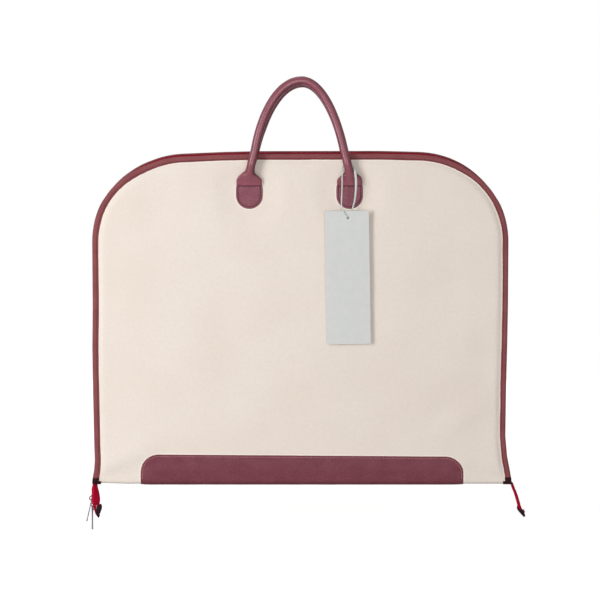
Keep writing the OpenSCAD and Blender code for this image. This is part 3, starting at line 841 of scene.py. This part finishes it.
# ---- handles ----
FOOT = [  # x, y, z, half width, half depth, height of the ridge
    (72.3, -17.9, 437.4, 18.4, 1.2, 1.2), (72.3, -18.3, 441.4, 18.4, 1.6, 1.8),
    (72.2, -18.9, 445.2, 17.9, 2.0, 2.4), (72.1, -19.7, 448.6, 16.4, 2.6, 2.8),
    (71.9, -20.5, 451.2, 13.8, 3.4, 2.6), (71.7, -21.4, 453.6, 10.8, 4.4, 1.8),
    (71.3, -22.6, 456.4, 7.8, 5.2, 0.8), (70.7, -24.0, 460.4, 6.3, 5.8, 0.2),
    (69.7, -25.0, 465.2, 6.1, 6.0, 0.0), (68.5, -25.6, 470.4, 6.1, 6.1, 0.0)]
LEG_X, LEG_Z = 2.8, 587.4                  # where the two legs of the handle meet
LEFT_LEG, RIGHT_LEG = (-71.6, 155.0), (74.4, 230.0)     # half axes of their quarter ellipses


def leg_path(wide, tall):
    """Points of a leg from the neck up to the apex, which isn't among them."""
    end = math.acos(1 - (LEG_Z - NECK_TOP) / tall)
    return [(LEG_X + wide * math.sin(t), LEG_Z - tall * (1 - math.cos(t)))
            for t in steps(end, 0, end / 10)[:-1]]


def handle_sections(back):
    """Centre, half width, half depth and ridge from the left seam over to the right one."""
    def leg(x, z):
        y = NECK_Y + (z - NECK_Z) / (APEX_Z - NECK_Z) * (APEX_Y - NECK_Y)
        up = smooth((z - NECK_Z) / 60)
        if back:
            x, z = x + 1.6 * up - 0.02 * x * up, z - 4.2 * up * smooth((z - 480) / 90)
        return (x, y, z, TUBE_R, TUBE_R, 0.0)
    left = [(-f[0], *f[1:]) for f in FOOT] + [leg(*q) for q in leg_path(*LEFT_LEG)]
    right = list(FOOT) + [leg(*q) for q in leg_path(*RIGHT_LEG)]
    return [tuple(v) for v in spline(left + [leg(LEG_X, LEG_Z)] + right[::-1], 4)]


def half_handle(back):
    parts = handle_sections(back)
    centres = np.array([p[:3] for p in parts])
    ref = np.array([0.0, -math.cos(LEAN), math.sin(LEAN)])
    rings, painted_side_shade = [], []
    for i, (a, b, ridge) in enumerate([p[3:] for p in parts]):
        t = heading(centres, i)
        across = unit(np.cross(t, ref))
        out = np.cross(across, t)
        wide = smooth((a / b - 1.1) / 2)
        crease = 1 + 0.012 * grain(i * 0.35, 2.0, 11 if back else 3)
        e = 2 / (2 + 0.8 * wide)
        ring = []
        for th in circle(32):
            cu, su = math.cos(th), math.sin(th)
            u = a * math.copysign(abs(cu) ** e, cu)
            w = b * math.copysign(abs(su) ** e, su)
            w = w * (1 - 0.45 * wide) if su < 0 else w + ridge * bump(u / 6.5) * su
            ring.append(centres[i] + crease * (u * across + w * out) + [HANDLE_X, 0, 0])
            turned = 0.75 + 0.25 * cu * math.copysign(1, across[0])
            painted_side_shade.append(abs(cu) ** 2.2 * turned * (1 - 0.6 * wide))     # painted shade: darker along the sides, most on the side facing +X, away from the key lamp
        rings.append(ring)
    s = Shape()
    s.loops(rings, painted_side_shade)
    return add_half(back, "handle_leather", s, TUBE, "leather",
                    ("{}_handle_cover", "{}_handle_core", "{}_neck_left", "{}_neck_right"),
                    rides=False)


def stadium(d, n=20):
    """Outline of a patch at inset d, about the middle of the patch in X."""
    r = PATCH_R - d
    up = [(r * math.cos(a), PATCH_HIGH + r * math.sin(a)) for a in np.linspace(0, math.pi, n)]
    return up + [(-x, PATCH_LOW + PATCH_HIGH - z) for x, z in up]


def half_patches(back):
    for name, s in (("left", -1), ("right", 1)):
        cx = HANDLE_X + s * PATCH_X
        rings, value = [], []
        # painted shade: the third number of each ring paints the stitch groove darker
        for d, y, groove in [(0.3, -14.7, 0), (0, -15.4, 0), (0.05, -16.0, 0), (0.5, -16.45, 0),
                             (1.4, -16.65, 0), (2.4, -16.6, 0), (2.8, -16.45, 0.3),
                             (PATCH_STITCH, -16.35, 0.4), (3.6, -16.45, 0.3), (4.0, -16.6, 0),
                             (5.2, -16.75, 0), (8, -16.8, 0), (13, -16.8, 0),
                             (17.5, -16.75, 0)]:
            rings.append([(cx + x, y, z) for x, z in stadium(d)])
            value += [groove] * len(rings[-1])
        p = Shape()
        p.loops(rings, value)
        add_half(back, f"{name}_patch", p, PATCH, "leather", ("{}_patch_" + name,))
        t = Shape()
        side = PATCH_R - PATCH_STITCH
        line = [(-side, SEAM_Z)] + stadium(PATCH_STITCH, 40)[40:] + [(side, SEAM_Z)]
        stitch_line(t, [(cx + x, -16.4, z) for x, z in line], 3.0, 2.1, 0.5)
        stitch_line(t, [(cx + x, -17.1, SEAM_Z - 1.4) for x in steps(-16.3, 16.3, 4)],
                    3.0, 2.1, 0.5, 0.0)
        add_half(back, f"{name}_patch_stitches", t, DARK_THREAD, "leather")


# ---- tag ----
def make_string():
    path = spline(STRING, 6)
    rings, value = [], []
    done = 0.0
    for i, c in enumerate(path):
        t = heading(path, i)
        wide = unit(np.cross(t, np.array([0, 1.0, 0.35])))
        thin = np.cross(wide, t)
        along = i / (len(path) - 1)
        c = c + [2.0 * bump((along - 0.3) / 0.08) - 1.4 * bump((along - 0.76) / 0.14), 0, 0]
        a = 0.95 + 0.75 * bump((along - 0.76) / 0.12)
        if i:
            done += float(np.linalg.norm(path[i] - path[i - 1]))
        rings.append([c + a * math.cos(k) * wide + 0.5 * math.sin(k) * thin for k in circle(12)])
        value += [done + 0.8 * math.cos(k) for k in circle(12)]
    s = Shape()
    s.loops(rings, value)
    o = add("tag_string_tape", s, CORD, body="tag_string", slot="string",
            replaces=("tag_string",))
    s = Shape()
    centre = np.array([68.6, -20.4, 388.6])
    coil = [centre + 0.42 * np.array([math.sin(a) + 2 * math.sin(2 * a), -1.6 * math.sin(3 * a),
                                      math.cos(a) - 2 * math.cos(2 * a)]) for a in circle(36)]
    rings = []
    for i, c in enumerate(coil):
        t = unit(coil[(i + 1) % 36] - coil[i - 1])
        n = unit(np.cross(t, np.array([0.3, 1, 0.2])))
        b = np.cross(t, n)
        rings.append([c + 0.75 * (math.cos(k) * n + math.sin(k) * b) for k in circle(10)])
    s.loops(rings, closed=True)
    for dx in (-0.9, 1.2):
        end = spline([centre, centre + [dx, 0.1, -3], centre + [1.6 * dx, -0.3, -7]], 4)
        s.loops([[c + 0.6 * np.array([math.cos(k), math.sin(k), 0]) for k in circle(8)]
                 for c in end])
    k = add("tag_string_knot", s, CORD, body="tag_string", slot="string",
            replaces=("tag_knot",))


def between(p, a, b):
    """Whether p lies on the upright or level edge from a to b, its ends left out."""
    k = 1 if abs(a[0] - b[0]) < 1e-6 else 0
    return abs(p[1 - k] - a[1 - k]) < 1e-6 and (
        min(a[k], b[k]) + 1e-6 < p[k] < max(a[k], b[k]) - 1e-6)


def make_tag():
    hole_x, hole_z, hole_r, frame_half = 68.0, 391.0, 2, 4
    low, high, left, right, tilt = 208.0, 401.0, 34.5, 98.5, math.radians(-1.0)
    xs = steps(left, hole_x - frame_half, 6) + steps(hole_x + frame_half, right, 6)
    zs = steps(low, hole_z - frame_half, 7) + [hole_z + frame_half, high]
    index, verts, faces = {}, [], []

    def vert(x, z, face):
        key = (round(x, 3), round(z, 3), face)
        if key not in index:
            index[key] = len(verts)
            bow = 0.7 * math.sin((z - low) / (high - low) * math.pi) - 0.5 * bump(
                (x - left) / 14) * smooth((hole_z - 60 - z) / 100)
            dx, dz = x - hole_x, z - hole_z
            verts.append((hole_x + dx * math.cos(tilt) + dz * math.sin(tilt),
                          -24 - bow + (0.3 if face else -0.3),
                          hole_z + dz * math.cos(tilt) - dx * math.sin(tilt)))
        return index[key]
    ring = [(hole_x + hole_r * math.cos(a), hole_z + hole_r * math.sin(a)) for a in circle(24)]
    square = []
    for a in circle(24):
        c, d = math.cos(a), math.sin(a)
        k = frame_half / max(abs(c), abs(d))
        square.append((hole_x + k * c, hole_z + k * d))
    for face in (0, 1):
        for x0, x1 in zip(xs, xs[1:]):
            for z0, z1 in zip(zs, zs[1:]):
                if (x0, z0) == (hole_x - frame_half, hole_z - frame_half):
                    continue                     # the cell with the hole
                edge = []
                for a, b in around([(x0, z0), (x1, z0), (x1, z1), (x0, z1)]):
                    on = [p for p in square if between(p, a, b)]
                    edge += [a] + sorted(on, key=lambda p: math.dist(p, a))
                ids = [vert(*p, face) for p in edge]
                faces.append(tuple(ids if face else ids[::-1]))
        for (a, b), (c, d) in zip(around(square), around(ring)):
            faces.append(tuple(vert(*p, face) for p in (a, b, d, c)))
    border = ([(x, low) for x in xs] + [(right, z) for z in zs[1:]]
              + [(x, high) for x in xs[-2::-1]] + [(left, z) for z in zs[-2:0:-1]])
    for line in (ring, border):
        for a, b in around(line):
            faces.append((vert(*a, 0), vert(*b, 0), vert(*b, 1), vert(*a, 1)))
    s = Shape()
    s.put(verts, faces)
    add("hang_tag", s, CARD, body="tag", slot="card", replaces=("tag_card",), soft=False)


# ---- zip tails ----
def add_tail(side, name, shape, material, slot, node=None, **more):
    add(f"{side}_tail_{name}", shape, material, body=f"{side}_tail", slot=slot,
        replaces=(f"{side}_tail_{node}",) if node else (), **more)


def tail_tooth(chain, x, z, m, flip, lean=0.0):
    """A tooth that points along m in X, turned by lean, of one half of the zip (flip)."""
    c, s = math.cos(lean), math.sin(lean)
    tooth(chain, TOOTH[::2], lambda u, y, w: (x + m * u * c - w * s, y * flip,
                                              z + w * c + m * u * s))


def tail_end(side, outline, bottom, y):
    """The leather tab over both sides of a tail, closed round the bottom."""
    s = Shape()
    for f in (1, -1):
        s.prism(outline, 1, f * y, f * (y + 2.2))
    s.prism(bottom, 1, -y - 0.2, y + 0.2)
    add_tail(side, "end", s, TAIL_END, "tail_leather", "tab", bevel=0.5)


def left_tail():
    left_x = [(-46, -299.4), (-40, -301.2), (-33, -303.9), (-24, -305.4), (-16, -305.5),
              (-8, -305.2), (1, -302.8), (4, -302.2)]
    ridge_x = [(-46, -298.4), (-40, -300.2), (-31, -301.8), (-16, -302.2), (4, -300.8)]
    right_x = [(-46, -296.4), (-42, -296.0), (-33.6, -295.0), (-26, -293.2), (-22.4, -293.1),
               (-10.6, -295.5), (1, -297.7), (4, -298.2)]
    cloth = Shape()
    for f in (1, -1):
        grid, value = [], []
        for z in steps(0.6, -45.5, 1.8):
            l, m, r = interp(left_x, z), interp(ridge_x, z), interp(right_x, z)
            deep = smooth((3 - z) / 14)
            pts = spline([(l, -4.6), ((l + m) / 2, -5.2 - 1.6 * deep), (m, -5.6 - 3.4 * deep),
                          ((m + r) / 2, -5.2 - 1.0 * deep), (r, -5.2 + 2.6 * deep)], 4)
            grid.append([(x + 0.25 * math.sin(z / 3), f * y, z) for x, y in pts])
            value += [0.5 * z + 1.6 * x for x, _ in pts]
        cloth.slab(grid, 0.1, f * 0.6, value)
    strip = [[(-298.1, y, z) for y in (-5.1, -3, -1, 1, 3, 5.1)] for z in steps(-0.5, -43.5, 2)]
    cloth.slab(strip, 0.6, 0, [z for row in strip for _, _, z in row])
    add_tail("left", "cloth", cloth, TAPE, "zip_tape", "tape")
    chain = Shape()
    for k in range(12):
        for flip, shift in ((1, 0), (-1, TOOTH_PITCH / 2)):
            tail_tooth(chain, -HALF_W, -1.8 - TOOTH_PITCH * k - shift, 1, flip)
    chain.block((-300.8, -3.7, -41.4), (-298.4, 3.7, -38.6))
    add_tail("left", "teeth", chain, TEETH, "zip_teeth", "chain", soft=False)
    stop = Shape()
    stop.block((-298.6, -9.6, -36.8), (-297.2, -7.8, -30.6))
    add_tail("left", "stop", stop, METAL, "zip_metal", bevel=0.4)
    tail_end("left", [(-296.2, -33.7), (-298.0, -36.2), (-300.3, -41.1), (-297.7, -47.2),
                      (-295.4, -49.9), (-293.9, -49.2), (-294.7, -45.6), (-292.2, -42.4),
                      (-290.7, -36.6), (-291.9, -31.6), (-294.4, -32.4)],
             [(-299.2, -43.0), (-297.7, -47.2), (-295.4, -49.9), (-293.9, -49.2),
              (-294.9, -44.5)], 6.0)


def right_tail():
    line = spline([(306.6, 5.5), (310.2, -5), (314.3, -15), (317.8, -26), (320.6, -35.2),
                   (323.6, -41.5)], 5)
    widths = [1.0, 1.8, 2.0, 2.1, 2.3, 1.4]
    cloth = Shape()
    rows, value = [], []
    for i, (x, z) in enumerate(line):
        tx, tz = heading(line, i)
        half = float(np.interp(i / 5, range(6), widths))
        pts = spline([(-half, -4.6), (-0.2 * half, -6.8), (half, -5.0)], 4)
        rows.append([(x - tz * u, y, z + tx * u) for u, y in pts])
        value += [0.5 * z + 1.6 * u for u, _ in pts]
    for f in (1, -1):
        cloth.slab([[(x, f * y, z) for x, y, z in r] for r in rows], 0, f * 0.6, value)
    cloth.slab([[(x - 0.4, y, z) for y in (-4.9, -3, -1, 1, 3, 4.9)] for x, z in line[:-2]], 0.6, 0)
    add_tail("right", "cloth", cloth, TAPE, "zip_tape", "tape")
    chain = Shape()
    x_at = [(z, x) for x, z in line[::-1]]
    for k in range(11):
        for flip, shift in ((1, 0), (-1, TOOTH_PITCH / 2)):
            z = 0.5 - TOOTH_PITCH * k - shift
            tail_tooth(chain, interp(x_at, z) + 1.6, z, -1, flip, math.radians(20))
    add_tail("right", "teeth", chain, TEETH, "zip_teeth", "chain", soft=False)
    tail_end("right", [(317.7, -34.0), (317.0, -38.4), (321.6, -43.8), (326.6, -49.1),
                       (328.9, -47.6), (327.4, -42.9), (328.4, -40.2), (325.4, -40.2),
                       (323.6, -36.4), (320.6, -38.2)],
             [(321.6, -43.8), (326.6, -49.1), (328.9, -47.6), (327.4, -43.2), (324.4, -43.0)],
             5.2)


# ---- sliders and pulls ----
def add_metal(name, shape, bevel):
    add(name + "_metal", shape, METAL, body=name, slot="zip_metal", replaces=(name,),
        bevel=bevel, soft=False)


def make_slider(name, z, tilt, arch, inner):
    """A slider at height z, its body turned by tilt; arch and inner outline its pull loop."""
    s = Shape()
    plate = [(-3.4, -5), (3.4, -5), (4.0, -2), (4.9, 2.2), (4.6, 4.4), (2.4, 5.0), (-2.4, 5.0),
             (-4.6, 4.4), (-4.9, 2.2), (-4.0, -2)]
    s.prism(plate, 0, -302.6, -301.4)
    s.prism([(0.86 * y, h) for y, h in plate], 0, -297.1, -296.0)
    for f in (-1, 1):
        s.prism([(f * 3.0, -5.0), (f * 3.9, -2.2), (f * 4.9, 2.2), (f * 4.9, 3.2),
                 (f * 4.0, 2.4), (f * 3.9, -1.4), (f * 3.9, -4.9)], 0, -301.6, -298.5)
    s.prism([(-0.45, -2.6), (0.45, -2.6), (0.45, 4.6), (-0.45, 4.6)], 0, -301.6, -296.8)
    turn = Matrix.Rotation(math.radians(tilt), 3, "Y")
    c = Vector((-299.5, 0, 0))
    s.v = [tuple(turn @ (Vector(p) - c) + c) for p in s.v]
    arch, inner = spline(arch, 4), spline(inner, 4)
    for i in range(len(arch) - 1):
        s.prism([arch[i], arch[i + 1], inner[i + 1], inner[i]], 1, -1.5, 1.5)
    s.v = [(x, y, h + z) for x, y, h in s.v]
    add_metal(name, s, 0.18)


def make_pull(name, z, angle, length, twist, thick):
    """A pull of this length that hangs from a slider at height z."""
    s = Shape()
    s.prism([(0.8 * math.cos(a), 0.8 * math.sin(a)) for a in circle(12)], 1, -2.7, 2.7)
    half = [(-7.0, 2.7), (-9.5, 1.7), (-13, 1.4), (-length + 9, 1.7), (-length + 4, 2.6),
            (-length + 1.2, 2.4), (-length, 1.1)]
    for f in (-1, 1):
        s.prism([(f * 2.7, 0), (f * 2.7, -7.4), (f * 1.8, -7.4), (f * 1.8, 0)], 0, -thick, thick)
    s.prism([(y, h) for h, y in half] + [(-y, h) for h, y in half[::-1]], 0, -thick, thick)
    about = Matrix.Rotation(math.radians(twist), 3, "Z")
    turn = Matrix.Rotation(math.radians(angle), 3, "Y")
    s.v = [tuple(turn @ (about @ Vector(p)) + Vector((PULL_X, 0, z))) for p in s.v]
    add_metal(name, s, 0.15)


# ---- inside ----
def inside_pieces():
    for name, x0, x1 in (("left", -STRAP_END, -BUCKLE_HALF), ("right", BUCKLE_HALF, STRAP_END)):
        s = Shape()
        s.skin([(x, steps(*STRAP_Z, 2.5)) for x in steps(x0, x1, 4)],
               lambda z, x: ((x, 10.35 - max(0.35 * grain(x / 25, 3.0, 2.0), -0.2), z),
                             (x, 11.4, z), x))
        add(f"strap_{name}_web", s, WEB, body="back_half", slot="webbing",
            replaces=(f"garment_strap_{name}",))
    s = Shape()
    s.prism([(-22, 233), (-17, 231), (17, 231), (22, 233), (22, 262), (17, 264), (-17, 264),
             (-22, 262)], 1, 7.5, 10.2)
    for f in (-1, 1):
        s.prism([(f * 8, 238), (f * 19, 238), (f * 19, 242), (f * 8, 241)], 1, 7.0, 8.0)
        s.prism([(f * 8, 257), (f * 19, 257), (f * 19, 253), (f * 8, 254)], 1, 7.0, 8.0)
    s.block((-3, 7.0, 236), (3, 8.0, 259))
    add("strap_buckle_plastic", s, PLASTIC, body="back_half", slot="buckle_plastic",
        replaces=("strap_buckle",), bevel=0.6, soft=False)


# ---- build ----
make_string()
make_tag()
for is_back in (False, True):
    panel = half_panel(is_back)
    lining = half_lining(is_back)
    band = half_band(is_back)
    for piece in (panel, lining, band):
        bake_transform(piece)
    half_rim(is_back)
    binding_ends(is_back)
    half_patches(is_back)
    handle = half_handle(is_back)
    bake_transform(handle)
for side, way in (("left", -1), ("right", 1)):
    fold_end(side, way)
left_tail()
right_tail()
make_slider("slider_a", SLIDER_A_Z, 0,
            [(-302.4, 3.4), (-305.6, 2.2), (-308.6, 0.2), (-309.5, -2.8), (-308.2, -4.7),
             (-305.4, -5.0), (-302.4, -3.6)],
            [(-302.4, 1.9), (-305.2, 0.7), (-307.3, -0.7), (-307.8, -2.7), (-307.0, -3.5),
             (-305.2, -3.6), (-302.4, -2.4)])
make_slider("slider_b", SLIDER_B_Z, -6,
            [(-302.4, 4.4), (-305.2, 4.8), (-306.9, 3.0), (-306.0, -0.6), (-304.0, -5.4),
             (-302.4, -6.0)],
            [(-302.4, 3.1), (-304.7, 3.3), (-305.6, 2.4), (-304.8, -0.6), (-303.2, -3.8),
             (-302.4, -4.4)])
make_pull("pull_a", SLIDER_A_Z, 13.1, 37.6, 8, 0.7)
make_pull("pull_b", SLIDER_B_Z, 0.5, 36.4, 16, 0.85)
inside_pieces()
for node, material in (("hanger_tab", PATCH), ("hanger_eyelet", METAL)):
    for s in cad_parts[node].material_slots:
        s.material = material


# ---- floor and light ----
WORLD = 0.24                               # strength of the surroundings on the bag
LAMPS = [  # name, place, aim, width, height, power
    ("key", (-1.75, -1.6, 0.85), (0, 0, 0.3), 0.8, 1.7, 35),
    ("fill", (0.3, -3.0, 0.5), (0, 0, 0.25), 1.2, 1.2, 26),
    ("top", (0.0, 0.5, 2.2), (0, 0, 0.3), 1.0, 1.0, 5)]


def seen(nt):
    """1 for rays from the camera and for reflections, which show the pale background."""
    path = nt.nodes.new("ShaderNodeLightPath").outputs
    return add_node(nt, "ShaderNodeMath", operation="MAXIMUM", i0=path["Is Camera Ray"],
                    i1=path["Is Glossy Ray"])


def make_stage():
    floor = Shape()
    z = CAD_BOX[0][2] / MM - 1.5
    floor.put([(-1600, -1200, z), (1600, -1200, z), (1600, 1600, z), (-1600, 1600, z)],
              [(0, 1, 2, 3)])
    grey = Mat("floor", Base_Color=(0.5, 0.5, 0.5, 1), Roughness=0.9)
    level = grey.node("ShaderNodeMapRange", Value=grey.axis(1), From_Min=100, From_Max=1200,
                      To_Min=0.76, To_Max=0.95)
    glow = grey.node("ShaderNodeEmission", Strength=grey.times(seen(grey.nt), level))
    both = grey.node("ShaderNodeAddShader", i0=grey.shader.outputs[0], i1=glow)
    m = grey.m
    m.node_tree.links.new(both, m.node_tree.nodes["Material Output"].inputs["Surface"])
    add("floor", floor, m, soft=False)


def make_light():
    world = bpy.context.scene.world or bpy.data.worlds.new("world")
    bpy.context.scene.world = world
    world.use_nodes = True
    nt = world.node_tree
    background = nt.nodes["Background"].inputs
    background["Color"].default_value = (1, 1, 1, 1)
    link(nt, add_node(nt, "ShaderNodeMapRange", Value=seen(nt), To_Min=WORLD, To_Max=1.0),
         background["Strength"])
    for name, spot, aim, wide, tall, power in LAMPS:
        data = bpy.data.lights.new(name, "AREA")
        data.shape, data.size, data.size_y, data.energy = "RECTANGLE", wide, tall, power
        o = bpy.data.objects.new(name, data)
        bpy.context.scene.collection.objects.link(o)
        o.location = spot
        o.rotation_mode = "QUATERNION"
        o.rotation_quaternion = (Vector(aim) - Vector(spot)).to_track_quat("-Z", "Y")


make_stage()
make_light()
bpy.context.scene.view_settings.view_transform = "Standard"
